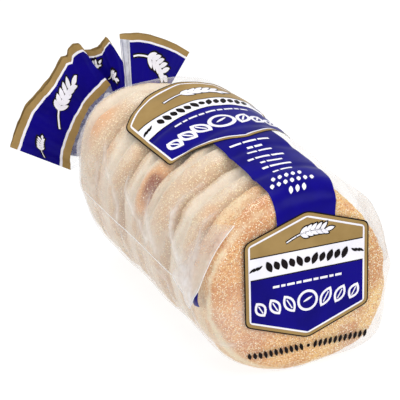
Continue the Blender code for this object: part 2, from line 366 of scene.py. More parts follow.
# ---------------------------------------------------------------- materials
class Graph:
    """A material's node tree, built up with short calls."""

    def __init__(self, name):
        self.material = bpy.data.materials.new(name)
        self.material.use_nodes = True
        self.tree = self.material.node_tree
        self.tree.nodes.clear()
        self.output = self.tree.nodes.new("ShaderNodeOutputMaterial")

    def node(self, kind, **settings):
        made = self.tree.nodes.new(kind)
        for key, value in settings.items():
            setattr(made, key, value)
        return made

    def link(self, source, target):
        self.tree.links.new(source, target)

    def position(self):
        return self.node("ShaderNodeTexCoord").outputs["Object"]

    def noise(self, scale, detail=3.0, roughness=0.55, vector=None):
        made = self.node("ShaderNodeTexNoise")
        made.inputs["Scale"].default_value = scale
        made.inputs["Detail"].default_value = detail
        made.inputs["Roughness"].default_value = roughness
        self.link(vector or self.position(), made.inputs["Vector"])
        return made.outputs["Fac"]

    def voronoi(self, scale, feature="F1"):
        made = self.node("ShaderNodeTexVoronoi", feature=feature)
        made.inputs["Scale"].default_value = scale
        self.link(self.position(), made.inputs["Vector"])
        return made

    def attribute(self, name):
        return self.node("ShaderNodeAttribute", attribute_name=name).outputs["Fac"]

    def math(self, operation, a, b=0.0, clamp=False):
        made = self.node("ShaderNodeMath", operation=operation, use_clamp=clamp)
        for socket, value in zip(made.inputs, (a, b)):
            if isinstance(value, (int, float)):
                socket.default_value = value
            else:
                self.link(value, socket)
        return made.outputs[0]

    def remap(self, value, low, high, to_low=0.0, to_high=1.0):
        made = self.node("ShaderNodeMapRange", interpolation_type="SMOOTHSTEP")
        made.inputs["From Min"].default_value = low
        made.inputs["From Max"].default_value = high
        made.inputs["To Min"].default_value = to_low
        made.inputs["To Max"].default_value = to_high
        self.link(value, made.inputs["Value"])
        return made.outputs["Result"]

    def mix(self, share, a, b, blend="MIX"):
        made = self.node("ShaderNodeMix", data_type="RGBA", blend_type=blend)
        for socket, value in ((made.inputs[0], share), (made.inputs[6], a), (made.inputs[7], b)):
            if isinstance(value, (int, float, tuple)):
                socket.default_value = value
            else:
                self.link(value, socket)
        return made.outputs[2]

    def bumped(self, height, distance, strength=1.0):
        made = self.node("ShaderNodeBump")
        made.inputs["Strength"].default_value = strength
        made.inputs["Distance"].default_value = distance * MM
        self.link(height, made.inputs["Height"])
        return made.outputs["Normal"]

    def principled(self, color, roughness, normal=None, **values):
        shader = self.node("ShaderNodeBsdfPrincipled")
        for name, value in (("Base Color", color), ("Roughness", roughness)):
            if isinstance(value, (int, float, tuple)):
                shader.inputs[name].default_value = value
            else:
                self.link(value, shader.inputs[name])
        for name, value in values.items():
            shader.inputs[name.replace("_", " ").title().replace("Ior", "IOR")].default_value = value
        if normal is not None:
            self.link(normal, shader.inputs["Normal"])
        return shader.outputs["BSDF"]

    def surface(self, shader):
        self.link(shader, self.output.inputs["Surface"])
        return self.material


def crust_material(name, pale, golden, far_golden, toasted, seed):
    """Baked dough: pale at the belt, golden and cornmeal-dusted where it lay on the griddle."""
    g = Graph(name)
    offset = g.node("ShaderNodeVectorMath", operation="ADD")
    offset.inputs[1].default_value = (seed * 0.31, seed * 0.17, seed * 0.23)
    g.link(g.position(), offset.inputs[0])
    place = offset.outputs["Vector"]
    broad = g.noise(45.0, 3.0, 0.5, place)
    patch = g.noise(140.0, 4.0, 0.6, place)
    fine = g.noise(850.0, 3.0, 0.65, place)
    cells = g.voronoi(1250.0)
    chance = g.node("ShaderNodeSeparateColor")
    g.link(cells.outputs["Color"], chance.inputs[0])
    round_grain = g.remap(cells.outputs["Distance"], 0.22, 0.48, 1.0, 0.0)
    speck = g.math("MULTIPLY", round_grain, g.remap(chance.outputs[0], 0.35, 0.7))
    crust = g.attribute("crust")
    toast = g.attribute("toast")
    # One side of the row baked to a yellower gold than the other
    parts = g.node("ShaderNodeSeparateXYZ")
    g.link(g.position(), parts.inputs[0])
    golden = g.mix(g.remap(parts.outputs["X"], -30.0 * MM, 30.0 * MM), golden, far_golden)
    # The griddled colour follows the crust attribute, broken up by noise
    broken = g.math("ADD", crust, g.math("MULTIPLY", g.math("SUBTRACT", patch, 0.5), 0.7))
    share = g.remap(broken, 0.15, 0.95)
    color = g.mix(share, pale, golden)
    warm = g.math("MULTIPLY", g.remap(broad, 0.45, 0.66), g.math("MULTIPLY", crust, 0.7))
    color = g.mix(warm, color, toasted)
    spot = g.math("ADD", toast, g.math("MULTIPLY", g.math("SUBTRACT", patch, 0.5), g.math("MULTIPLY", toast, 1.2)))
    color = g.mix(g.remap(spot, 0.05, 0.75, 0.0, 0.8), color, srgb(222, 162, 108))
    color = g.mix(g.remap(spot, 0.6, 1.7), color, srgb(142, 80, 52))
    # Grain: darker pits and pale meal dust
    pits = g.math("MULTIPLY", g.remap(fine, 0.49, 0.62), g.remap(crust, 0.0, 1.0, 0.12, 0.75))
    color = g.mix(pits, color, toasted)
    dust = g.math("MULTIPLY", speck, g.remap(crust, 0.0, 1.0, 0.25, 0.95))
    dust = g.math("MULTIPLY", dust, g.remap(spot, 0.25, 0.9, 1.0, 0.1))
    color = g.mix(dust, color, srgb(255, 241, 200))
    height = g.math("ADD", g.math("MULTIPLY", fine, 0.6), g.math("MULTIPLY", patch, 1.0))
    height = g.math("ADD", height, g.math("MULTIPLY", speck, 0.3))
    normal = g.bumped(height, 0.55, 0.8)
    shader = g.principled(color, 0.82, normal, subsurface_weight=0.06, subsurface_scale=0.003)
    return g.surface(shader)


def grain_material(name, color):
    g = Graph(name)
    tint = g.mix(g.remap(g.noise(700.0), 0.3, 0.7), color, srgb(255, 250, 236))
    return g.surface(g.principled(tint, 0.5, specular_ior_level=0.6))


def film_material(name, least_haze, milk=(0.93, 0.93, 0.94, 1.0)):
    """Clear plastic film: it lets the light through, with a milky haze where it is folded and a glossy face; along the
    folds that haze is also a painted highlight.
    """
    g = Graph(name)
    clear = g.node("ShaderNodeBsdfTransparent")
    milky = g.node("ShaderNodeBsdfDiffuse")
    milky.inputs["Color"].default_value = milk
    through = g.node("ShaderNodeBsdfTranslucent")
    through.inputs["Color"].default_value = milk
    cloudy = g.node("ShaderNodeMixShader")
    cloudy.inputs["Fac"].default_value = 0.35
    g.link(milky.outputs[0], cloudy.inputs[1])
    g.link(through.outputs[0], cloudy.inputs[2])
    streaks = g.noise(160.0, 3.0, 0.6)
    # The haze attribute is the film's milkiness, and along the folds a painted highlight
    haze_and_highlight = g.math("MULTIPLY", g.attribute("haze_and_highlight"), g.remap(streaks, 0.3, 0.7, 0.7, 1.3))
    haze_and_highlight = g.math("ADD", haze_and_highlight, least_haze, clamp=True)
    body = g.node("ShaderNodeMixShader")
    g.link(haze_and_highlight, body.inputs["Fac"])
    g.link(clear.outputs[0], body.inputs[1])
    g.link(cloudy.outputs[0], body.inputs[2])
    gloss = g.node("ShaderNodeBsdfGlossy")
    gloss.inputs["Color"].default_value = (1.0, 1.0, 1.0, 1.0)
    gloss.inputs["Roughness"].default_value = 0.2
    normal = g.bumped(g.noise(60.0, 2.0, 0.5), 0.4, 0.5)
    g.link(normal, gloss.inputs["Normal"])
    facing = g.node("ShaderNodeLayerWeight")
    facing.inputs["Blend"].default_value = 0.5
    sheen = g.math("MULTIPLY", g.math("POWER", facing.outputs["Facing"], 6.0), 0.6)
    surface = g.node("ShaderNodeMixShader")
    g.link(g.math("ADD", sheen, 0.025), surface.inputs["Fac"])
    g.link(body.outputs[0], surface.inputs[1])
    g.link(gloss.outputs[0], surface.inputs[2])
    return g.surface(surface.outputs[0])


def ink_material(name, color, darker):
    """Ink on the film: a solid colour, slightly uneven, with the film's gloss."""
    g = Graph(name)
    tint = g.mix(g.remap(g.noise(60.0, 3.0), 0.35, 0.75), color, darker)
    normal = g.bumped(g.noise(70.0, 2.0, 0.5), 0.25, 0.5)
    return g.surface(g.principled(tint, 0.34, normal, specular_ior_level=0.05))


def clip_material(name):
    g = Graph(name)
    tint = g.mix(g.remap(g.noise(240.0), 0.3, 0.7), srgb(238, 238, 232), srgb(226, 226, 219))
    normal = g.bumped(g.noise(700.0, 2.0), 0.05, 0.5)
    return g.surface(g.principled(tint, 0.42, normal, coat_weight=0.1))


def floor_material(name):
    g = Graph(name)
    tint = g.mix(g.noise(3.0), (0.93, 0.93, 0.93, 1.0), (0.95, 0.95, 0.95, 1.0))
    paper = g.principled(tint, 0.9, specular_ior_level=0.1)
    glow = g.node("ShaderNodeEmission")
    glow.inputs["Color"].default_value = (1.0, 1.0, 1.0, 1.0)
    glow.inputs["Strength"].default_value = 1.12
    mixed = g.node("ShaderNodeMixShader")
    mixed.inputs["Fac"].default_value = 0.75
    g.link(paper, mixed.inputs[1])
    g.link(glow.outputs[0], mixed.inputs[2])
    return g.surface(mixed.outputs[0])


FILM = film_material("clear_film", 0.012)
HAZY_FILM = film_material("hazy_film", 0.10)
TAIL_FILM = film_material("tail_film", 0.10, (0.90, 0.93, 1.0, 1.0))
INK_BLUE = ink_material("ink_blue", srgb(16, 7, 124), srgb(12, 5, 104))
INK_GOLD = ink_material("ink_gold", srgb(161, 133, 85), srgb(146, 119, 72))
INK_WHITE = ink_material("ink_white", srgb(240, 238, 244), srgb(228, 226, 236))
INK_BLACK = ink_material("ink_black", srgb(26, 20, 22), srgb(18, 14, 16))
INKS = (INK_BLACK, INK_GOLD, INK_WHITE, INK_BLUE)
BLACK, GOLD, WHITE, BLUE = range(4)


# ---------------------------------------------------------------- print: flat shapes laid onto the film
def inset(points, distance):
    """A convex outline, counter-clockwise, moved inwards by a distance."""
    moved = []
    count = len(points)
    for i in range(count):
        before, here, after = points[i - 1], points[i], points[(i + 1) % count]
        lines = []
        for (x0, y0), (x1, y1) in ((before, here), (here, after)):
            length = math.hypot(x1 - x0, y1 - y0)
            nx, ny = -(y1 - y0) / length, (x1 - x0) / length
            lines.append((nx, ny, nx * x0 + ny * y0 + distance))
        (a, b, c), (d, e, f) = lines
        det = a * e - b * d
        if abs(det) < 1e-9:
            moved.append((here[0] + a * distance, here[1] + b * distance))
        else:
            moved.append(((c * e - b * f) / det, (a * f - c * d) / det))
    return moved


def rounded(points, radius, steps=4):
    """A convex outline with each corner cut by a short curve."""
    out = []
    count = len(points)
    for i in range(count):
        here = Vector(points[i])
        before = Vector(points[i - 1])
        after = Vector(points[(i + 1) % count])
        start = here + (before - here).normalized() * radius
        end = here + (after - here).normalized() * radius
        for k in range(steps + 1):
            t = k / steps
            out.append(tuple(start * (1 - t) ** 2 + here * 2 * t * (1 - t) + end * t * t))
    return out


def clip_above(points, level, keep_above=True):
    """The part of a convex outline above or below a level of q."""
    out = []
    sign = 1 if keep_above else -1
    for i, (p1, q1) in enumerate(points):
        p0, q0 = points[i - 1]
        inside0 = sign * (q0 - level) >= 0
        inside1 = sign * (q1 - level) >= 0
        if inside0 != inside1:
            t = (level - q0) / (q1 - q0)
            out.append((p0 + (p1 - p0) * t, level))
        if inside1:
            out.append((p1, q1))
    return out


def turned(points, angle, p, q):
    """Points turned counter-clockwise and moved to (p, q)."""
    c, s = math.cos(math.radians(angle)), math.sin(math.radians(angle))
    return [(p + x * c - y * s, q + x * s + y * c) for x, y in points]


def lens(p, q, length, width, angle=0.0, steps=7):
    """A leaf or grain, pointed at both ends, along the angle."""
    side = []
    for k in range(steps + 1):
        t = k / steps
        side.append((length * (t - 0.5), width / 2 * math.sin(math.pi * t) ** 0.8))
    outline = [(x, -y) for x, y in side] + [(x, y) for x, y in side[-2:0:-1]]
    return turned(outline, angle, p, q)


def bar(p, q, length, width, angle=0.0):
    half, high = length / 2, width / 2
    return turned([(-half, -high), (half, -high), (half, high), (-half, high)], angle, p, q)


def disc(p, q, radius, steps=20):
    turns = [2 * math.pi * k / steps for k in range(steps)]
    return [(p + radius * math.cos(t), q + radius * math.sin(t)) for t in turns]


def sprig(p, q, length, angle, outline=0.0):
    """An ear of wheat: a bent stem, pairs of grains and one grain at the tip."""
    shapes = []
    grain_length = length * 0.25 + outline * 2
    grain_width = length * 0.095 + outline * 2
    stem = []
    for k in range(9):
        t = k / 8
        stem.append((length * (t - 0.52), length * 0.10 * math.sin(math.pi * t) - length * 0.05))
    for (x0, y0), (x1, y1) in zip(stem[:7], stem[1:]):
        step = math.degrees(math.atan2(y1 - y0, x1 - x0))
        span = math.hypot(x1 - x0, y1 - y0) + 0.3 + outline
        shapes.append(bar((x0 + x1) / 2, (y0 + y1) / 2, span, length * 0.03 + outline * 2, step))
    for k in range(3, 8):
        x, y = stem[k]
        for side in (-1, 1):
            tilt = side * 38
            cx = x + grain_length * 0.34 * math.cos(math.radians(tilt))
            cy = y + grain_length * 0.34 * math.sin(math.radians(tilt)) + side * 0.2
            shapes.append(lens(cx, cy, grain_length, grain_width, tilt))
    shapes.append(lens(stem[8][0] + grain_length * 0.3, stem[8][1], grain_length, grain_width, 0))
    return [turned(shape, angle, p, q) for shape in shapes]


def cut_to_grid(points, step):
    """Tessellates a convex outline along the lines of a grid."""
    bm = bmesh.new()
    bm.faces.new([bm.verts.new((p, q, 0.0)) for p, q in points])
    for axis in (0, 1):
        values = [point[axis] for point in points]
        position = (math.floor(min(values) / step) + 1) * step
        plane = [0.0, 0.0, 0.0]
        plane[axis] = 1.0
        while position < max(values) - 1e-6:
            where = [0.0, 0.0, 0.0]
            where[axis] = position
            geometry = bm.verts[:] + bm.edges[:] + bm.faces[:]
            bmesh.ops.bisect_plane(bm, geom=geometry, plane_co=where, plane_no=plane, dist=1e-7)
            position += step
    bm.verts.index_update()
    charted = [(v.co.x, v.co.y) for v in bm.verts]
    faces = [tuple(v.index for v in face.verts) for face in bm.faces]
    bm.free()
    return charted, faces


PRINT_LIFT = 0.10
LAYER_LIFT = 0.06


def print_piece(name, layers, chart, step=1.5):
    """One mesh of ink shapes: layers are (level, ink, outline) in the chart's coordinates."""
    charted, lifts, faces, inks = [], [], [], []
    for level, ink, outline in layers:
        points, cells = cut_to_grid(outline, step)
        base = len(charted)
        charted.extend(points)
        lifts.extend([PRINT_LIFT + LAYER_LIFT * level] * len(points))
        faces.extend(tuple(base + i for i in cell) for cell in cells)
        inks.extend([ink] * len(cells))
    flat = np.array(charted)
    placed = chart(flat[:, 0], flat[:, 1], np.array(lifts))
    piece = make_piece(name, placed, faces, INKS, inks)
    return piece


def hexagon(half_width, half_side, top, bottom, skew=0.0):
    """A label's outline, counter-clockwise from its lower apex."""
    return [
        (skew * -1, bottom),
        (half_width, -half_side),
        (half_width, half_side),
        (skew, top),
        (-half_width, half_side),
        (-half_width, -half_side),
    ]


def label_layers(outline, corner, band_low, band_high, border=1.08):
    """Black, gold and white borders, then the gold field, the white band and the blue field."""
    black = rounded(outline, corner)
    gold = rounded(inset(outline, 0.62 * border), corner * 0.9)
    white = rounded(inset(outline, 2.1 * border), corner * 0.6)
    core = inset(outline, 2.95 * border)
    layers = [(2, BLACK, black), (3, GOLD, gold), (4, WHITE, white)]
    line = 0.6
    layers.append((5, GOLD, clip_above(core, band_high + line)))
    layers.append((5, BLUE, clip_above(core, band_low - line, False)))
    upper = clip_above(clip_above(core, band_high), band_high + line, False)
    lower = clip_above(clip_above(core, band_low - line), band_low, False)
    layers.append((5, BLACK, upper))
    layers.append((5, BLACK, lower))
    return layers


def band_row(p, q, half_length, height, level):
    """A garland of bold slanted grains, mirrored about a round seed."""
    layers = [(level, BLACK, disc(p, q, height * 0.26))]
    pitch = height * 0.62
    count = int((half_length - height * 0.3) / pitch)
    for k in range(count):
        offset = height * 0.62 + pitch * k
        size = height * (1.0 if k % 2 == 0 else 0.8)
        for side in (-1, 1):
            layers.append((level, BLACK, lens(p + side * offset, q, size, height * 0.50, 90 - side * 24)))
    return layers


def end_ticks(p, q, level, side):
    """Two small slanted ticks at an end of the band."""
    layers = []
    for k in range(3):
        layers.append((level, BLACK, lens(p + side * k * 1.9, q + (k - 1) * 0.3, 3.8, 1.2, 34 * side)))
    return layers


def dash_row(p, q, lengths, height, level, ink=WHITE, gap=0.9):
    """A row of short dashes centred on p."""
    total = sum(lengths) + gap * (len(lengths) - 1)
    at = p - total / 2
    layers = []
    for length in lengths:
        layers.append((level, ink, bar(at + length / 2, q, length, height)))
        at += length + gap
    return layers


def leaf_row(p, q, half_length, height, stroke, level):
    """A round bun in the middle, with outlined leaves that lean away from it."""
    radius = height * 0.56
    layers = [(level, WHITE, disc(p, q, radius, 28))]
    layers.append((level + 1, BLUE, disc(p, q, radius - stroke, 28)))
    layers.append((level + 2, WHITE, lens(p, q + radius * 0.12, radius * 1.0, stroke * 0.9, 25)))
    room = half_length - radius
    count = 3
    for k in range(count):
        offset = radius + room * (k + 0.55) / count
        size = height * (1.12 - 0.10 * k)
        for side in (-1, 1):
            tilt = 90 - side * 30
            outer = lens(p + side * offset, q, size, height * 0.60, tilt)
            inner = lens(p + side * offset, q, size - stroke * 2.6, height * 0.60 - stroke * 1.8, tilt)
            layers.append((level, WHITE, outer))
            layers.append((level + 1, BLUE, inner))
            layers.append((level + 2, WHITE, bar(p + side * offset, q, size * 0.5, stroke * 0.45, tilt)))
    return layers


def logo_layers(p, q, length, angle, level):
    layers = [(level, BLACK, shape) for shape in sprig(p, q, length, angle, 0.55)]
    layers += [(level + 1, WHITE, shape) for shape in sprig(p, q, length, angle)]
    return layers


def skewed(layers, lean_p, lean_q):
    """Shapes whose upright edges lean by lean_p, and whose level edges slope by lean_q."""
    out = []
    for level, ink, shape in layers:
        out.append((level, ink, [(x + lean_p * y, y + lean_q * x) for x, y in shape]))
    return out


def moved(layers, p, q):
    return [(level, ink, [(x + p, y + q) for x, y in shape]) for level, ink, shape in layers]


# ---------------------------------------------------------------- film body
def haze_and_highlight_at(angle, s):
    """How milky the film is, with painted highlights: most along its folds, where the white also stands in for the
    light they catch, and where it stands off the muffins.
    """
    haze_and_highlight = 0.02 + 0.0 * angle
    # Each fold: the folded film's milkiness plus a painted highlight
    for _, width, strength, points in CREASES:
        distance = polyline_distance(angle, s, points)
        haze_and_highlight = haze_and_highlight + strength * (0.55 * bump(distance, width * 0.9) + 0.45 * bump(distance, width * 2.6))
    behind_panel = smooth((s + 92) / 12)
    loose = bump(angle_gap(angle, 132), 26) * smooth((30 - s) / 60)
    haze_and_highlight = haze_and_highlight + 0.30 * loose * (0.3 + 0.7 * behind_panel)
    side = bump(angle_gap(angle, -112), 26)
    haze_and_highlight = haze_and_highlight + 0.20 * side
    haze_and_highlight = haze_and_highlight + 0.10 * bump(angle_gap(angle, -72), 26) * smooth((s - 30) / 25)
    haze_and_highlight = haze_and_highlight + 0.12 * bump(angle_gap(angle, -78), 18) * smooth((s + 80) / 40)
    haze_and_highlight = haze_and_highlight + 0.25 * bump(angle_gap(angle, 92), 30) * smooth((20 - s) / 60) * behind_panel
    haze_and_highlight = haze_and_highlight + 0.20 * smooth((s - BODY_END + 2) / 12)
    valley = dip(np.asarray(s, float)) / DIP_DEPTH
    haze_and_highlight = haze_and_highlight + 0.10 * valley * bump(angle_gap(angle, -80), 22)
    return np.clip(haze_and_highlight, 0.0, 0.75)


def build_film():
    columns = 288
    angles = np.linspace(-180, 180, columns, endpoint=False)
    stations = list(np.linspace(PANEL_EDGE - 34, PANEL_EDGE, 18, endpoint=False))
    stations += list(np.linspace(PANEL_EDGE, BODY_START, 12, endpoint=False))
    stations += list(np.linspace(BODY_START, BODY_END, 100, endpoint=False))
    stations += list(np.linspace(BODY_END, BODY_END + SHOULDER_LENGTH, 10))
    rows, haze_and_highlight_rows = [], []
    for s in stations:
        rows.append(film(angles, s))
        haze_and_highlight_rows.append(haze_and_highlight_at(angles, np.full(columns, s)))
    last = rows[-1]
    start_y = float(last[:, 1].mean())
    steps = 26
    for i in range(1, steps + 1):
        share = i / steps
        pull = (1 - share) ** SHOULDER_POWER
        wave = math.sin(math.pi * share)
        pleat = 1 + PLEAT_DEPTH * wave * np.cos(np.radians(PLEAT_COUNT * angles))
        pleat = pleat + 0.05 * wave * np.sin(np.radians(23 * angles + 40 * share))
        pleat = pleat + 0.03 * wave * np.cos(np.radians(41 * angles - 60 * share))
        turn = np.radians(angles + NECK_TWIST * smooth(share))
        neck_x = NECK_X + NECK_RADIUS * np.sin(turn)
        neck_z = NECK_Z + NECK_RADIUS * np.cos(turn)
        x = neck_x + (last[:, 0] * pleat - neck_x) * pull
        z = neck_z + (last[:, 2] * pleat - neck_z) * pull
        y = last[:, 1] + (NECK_START - last[:, 1]) * share
        rows.append(np.stack((x, y, z), axis=-1))
        haze_and_highlight_rows.append(np.full(columns, 0.24 + 0.2 * share) + 0.10 * np.cos(np.radians(23 * angles)))
    for y in np.linspace(NECK_START, NECK_END, 5)[1:]:
        turn = np.radians(angles + NECK_TWIST)
        radius = NECK_RADIUS - 0.25 + 0.2 * np.cos(17 * turn)
        x = NECK_X + radius * np.sin(turn)
        z = NECK_Z + radius * np.cos(turn)
        rows.append(np.stack((x, np.full(columns, y), z), axis=-1))
        haze_and_highlight_rows.append(np.full(columns, 0.45))
    points = np.concatenate(rows)
    middle = panel_chart(np.array([0.0]), np.array([AXIS_HEIGHT]), np.array([0.0]))
    faces = grid_faces(len(rows), columns, True)
    centre = len(points)
    points = np.concatenate((points, middle))
    for k in range(columns):
        faces.append((centre, (k + 1) % columns, k))
    haze_and_highlight = np.concatenate(haze_and_highlight_rows + [np.array([0.02])])
    return make_piece("film_body", points, faces, [FILM], None, {"haze_and_highlight": haze_and_highlight})


# ---------------------------------------------------------------- muffins
# Each muffin: radius change, thickness change, shift in x and z, lean about x and z, seed
MUFFINS = (
    (0.2, 0.0, 0.0, 0.0, 0.0, 0.0, 11),
    (-0.2, -0.3, 0.2, -0.2, 0.9, 1.0, 23),
    (0.3, 0.2, -0.2, 0.1, -0.8, -1.4, 37),
    (-0.1, 0.0, 0.3, 0.0, 0.6, 1.6, 41),
    (0.3, -0.2, -0.1, 0.1, -0.7, -1.0, 59),
    (0.0, 0.2, 0.0, 0.0, 0.5, 0.9, 67),
)
# Toasted spots: muffin, angle, y from its middle, spread round it, spread along it, strength
TOASTED = (
    (3, -59, -9.0, 13.5, 6.2, 2.0),
    (5, -52, -2.0, 13, 6.0, 0.5),
    (4, -56, 8.5, 8, 4.5, 0.4),
    (1, -45, -9.0, 12, 5.0, 0.4),
    (4, -98, -3.0, 8, 5.0, 0.35),
    (2, -62, -9.0, 10, 5.0, 0.3),
    (5, -44, -4.0, 14, 6.0, 0.35),
    (4, -50, -8.0, 12, 5.0, 0.25),
    (2, -100, -8.0, 10, 5.0, 0.25),
    (1, -70, -8.0, 12, 5.0, 0.25),
    (5, -95, -8.0, 16, 6.0, 0.25),
    (3, 70, -8.0, 16, 6.0, 0.5),
    (1, 60, 8.0, 14, 5.0, 0.45),
    (4, 120, -8.0, 18, 6.0, 0.4),
)
# Toasted patches on the first muffin's face: x, z, spread, strength
FACE_PATCHES = (
    (-16, 26, 15, 0.42),
    (-30, 42, 13, 0.45),
    (-34, 64, 12, 0.35),
    (27, 82, 9, 0.55),
    (-10, 72, 14, 0.25),
    (8, 14, 14, 0.26),
    (36, 46, 10, 0.15),
)
# Where a muffin isn't round: muffin, angle, spread, height
BULGES = (
    (0, 132, 27, 5.2),
    (0, 56, 17, -2.2),
    (0, -60, 30, -0.6),
    (1, -75, 24, -1.2),
    (2, -82, 26, 1.2),
    (3, -50, 22, 0.9),
    (3, -100, 20, -0.8),
    (4, -88, 22, 0.8),
    (1, 132, 24, 3.0),
    (2, 132, 24, 1.6),
    (3, 132, 24, 1.2),
)
# Each muffin's front rounding, and how far behind its middle the pale belt runs
FRONTS = ((4.2, 0.4), (8.5, 1.5), (11.0, 4.6), (9.5, 2.2), (8.0, 0.6), (9.0, 2.6))
FACE_ROUNDING = 7.5
FIRST_ROUNDING = 4.2
FIRST_RIM_PLACE = 2.4
FIRST_RIM_WIDTH = 2.0
SPLIT_DEPTH = 3.0
SPLIT_WIDTH = 2.0


def muffin_profile(thickness, front_rounding, belt_place):
    """(radius share of the full one as an inset, y, crust) from the front's middle to the back's."""
    half = thickness / 2
    back_rounding = FACE_ROUNDING
    rows = []
    for k in range(13):
        rows.append((None, k / 13, -half, 1.0))
    for side, rounding in ((-1, front_rounding), (1, back_rounding)):
        steps = [90 * k / 10 for k in range(11)]
        if side > 0:
            steps = steps[::-1]
        arc = []
        for turn in steps:
            radians = math.radians(turn)
            depth = rounding * (1 - math.sin(radians))
            y = side * (half - rounding * 0.85 * (1 - math.cos(radians)))
            arc.append((depth, 1.0, y, 1.0 - 0.45 * smooth((turn - 40) / 50)))
        if side < 0:
            rows += arc
            start = arc[-1][2]
            end = half - back_rounding * 0.85
            count = 18
            for k in range(1, count):
                y = start + (end - start) * k / count
                from_belt = abs(y - belt_place)
                belt = SPLIT_DEPTH * bump(from_belt, SPLIT_WIDTH)
                rows.append((belt, 1.0, y, 0.08 + 0.47 * smooth((from_belt - 1.2) / 4.5)))
        else:
            rows += arc
    for k in range(12, -1, -1):
        rows.append((None, k / 13, half, 1.0))
    return rows


def face_height(x, z, seed):
    """How far a griddled face swells or sinks."""
    broad = noise.noise(Vector((x * 0.035, seed * 3.1, z * 0.035)))
    small = noise.noise(Vector((x * 0.16, seed * 7.7, z * 0.16)))
    return 0.7 * broad + 0.18 * small


def left_share(angle):
    """How far a muffin fills the film on its left side."""
    return smooth((-25 - angle) / 30) * smooth((angle + 176) / 12)


def build_muffin(n):
    swelling, thicker, shift_x, shift_z, lean_x, lean_z, seed = MUFFINS[n]
    thickness = MUFFIN_THICKNESS - 0.3 + thicker
    middle = ROW_FRONT + (n + 0.5) * MUFFIN_THICKNESS
    full = MUFFIN_RADIUS + RIM_SWELLS[n] + swelling
    front_rounding, belt_place = FRONTS[n]
    rows = muffin_profile(thickness, front_rounding, belt_place)
    columns = 216
    points, crust, toast = [], [], []
    generator = random.Random(seed)
    angles = np.linspace(-180, 180, columns, endpoint=False)
    turns = np.radians(angles)
    rim = np.full(columns, full - 0.35)
    for waves in (2, 3, 5):
        rim += generator.uniform(0.15, 0.45) * np.sin(waves * turns + generator.uniform(0, 6.28)) - 0.12
    snug = BODY_RADIUS + slack_at(angles, middle) - 1.1
    ring_share = 0.3 + 0.7 * bump(angle_gap(angles, -105), 60)
    rim += (snug - rim) * left_share(angles)
    for which, at, wide, height in BULGES:
        if which == n:
            rim += height * bump(angle_gap(angles, at), wide)
    for depth, share, y, baked in rows:
        side_baked, first_rim = 0.0, 0.0
        if n == 0 and depth is not None:
            # The first muffin's front edge is a pale ring, with a browner side behind it
            side_baked = 0.95 if y < 0 else 0.75
            first_rim = bump(y + thickness / 2 - FIRST_RIM_PLACE, FIRST_RIM_WIDTH)
        row_rim = rim + REAR_OUT * rear(angles, middle + y)
        for k in range(columns):
            angle, turn, radius = float(angles[k]), float(turns[k]), float(row_rim[k])
            s, c = math.sin(turn), math.cos(turn)
            if depth is None:
                rounding = front_rounding if y < 0 else FACE_ROUNDING
                r = (radius - rounding) * share
            else:
                ragged = noise.noise(Vector((s * 3.2, c * 3.2, seed)))
                r = radius - depth * (1.0 + (0.8 * ragged if abs(y - belt_place) < 4 else 0.0))
                dent = noise.noise(Vector((s * 6.0, c * 6.0, y * 0.12 + seed)))
                pit = noise.noise(Vector((s * 17.0, c * 17.0, y * 0.40 + seed)))
                r += 1.0 * dent + 0.34 * pit
            x, z = r * s, r * c
            swell_y = face_height(x, z, seed) if abs(y) > thickness / 2 - 2.5 else 0.0
            wander = 1.8 * noise.noise(Vector((s * 2.0, c * 2.0, seed * 1.7)))
            out = y + (swell_y if y > 0 else -swell_y) + (wander if abs(y) < 6 else wander * 0.4)
            if n == 0 and y < 0:
                out = y + swell_y * 0.5
            points.append((x, out, z))
            baked_here = max(baked, side_baked - 0.4 * float(ring_share[k])) + 0.25 * noise.noise(Vector((s * 4, c * 4, y * 0.15 + seed * 2.3)))
            baked_here -= 0.58 * first_rim * float(ring_share[k])
            crust.append(min(1.0, max(0.0, baked_here)))
            mark = 0.0
            for which, at, along, wide, deep, strength in TOASTED:
                if which == n and depth is not None:
                    gap = (angle - at + 180) % 360 - 180
                    mark += strength * math.exp(-((gap / wide) ** 2) - ((y - along) / deep) ** 2)
            if n == 0 and y < -thickness / 2 + 3:
                for px, pz, wide, strength in FACE_PATCHES:
                    mark += strength * math.exp(-((x - px) ** 2 + (z + AXIS_HEIGHT - pz) ** 2) / wide ** 2)
            toast.append(mark)
    cloud = np.array(points)
    tilt_x, tilt_z = math.radians(lean_x), math.radians(lean_z)
    y = cloud[:, 1] + cloud[:, 2] * math.tan(tilt_x) + cloud[:, 0] * math.tan(tilt_z)
    x = cloud[:, 0] + shift_x
    z = cloud[:, 2] + shift_z
    # Nothing pushes through the film or the floor
    y = y + middle
    angle = np.degrees(np.arctan2(x, z))
    r = np.hypot(x, z)
    y = np.maximum(y, PANEL_Y + 0.6)
    r = np.minimum(r, room_inside(angle, y))
    x = r * np.sin(np.radians(angle))
    z = AXIS_HEIGHT + r * np.cos(np.radians(angle))
    z = np.maximum(z, 0.7)
    y = y + lean(y, z) + REAR_BACK * rear(angle, y)
    placed = np.stack((x, y, z), axis=-1)
    faces = grid_faces(len(rows), columns, True)
    faces.append(tuple(range(columns))[::-1])
    faces = [face for face in faces if len(face) == 4]
    # The first and last rows are single points, so close them with one vertex each
    material = CRUSTS[n]
    name = f"muffin_{n + 1}"
    mesh_points, mesh_faces, keep = merge_poles(placed, faces, columns, len(rows))
    crust = np.array(crust)[keep]
    toast = np.array(toast)[keep]
    piece = make_piece(
        name, mesh_points, mesh_faces, [material], None, {"crust": crust, "toast": toast}
    )
    return piece, crust


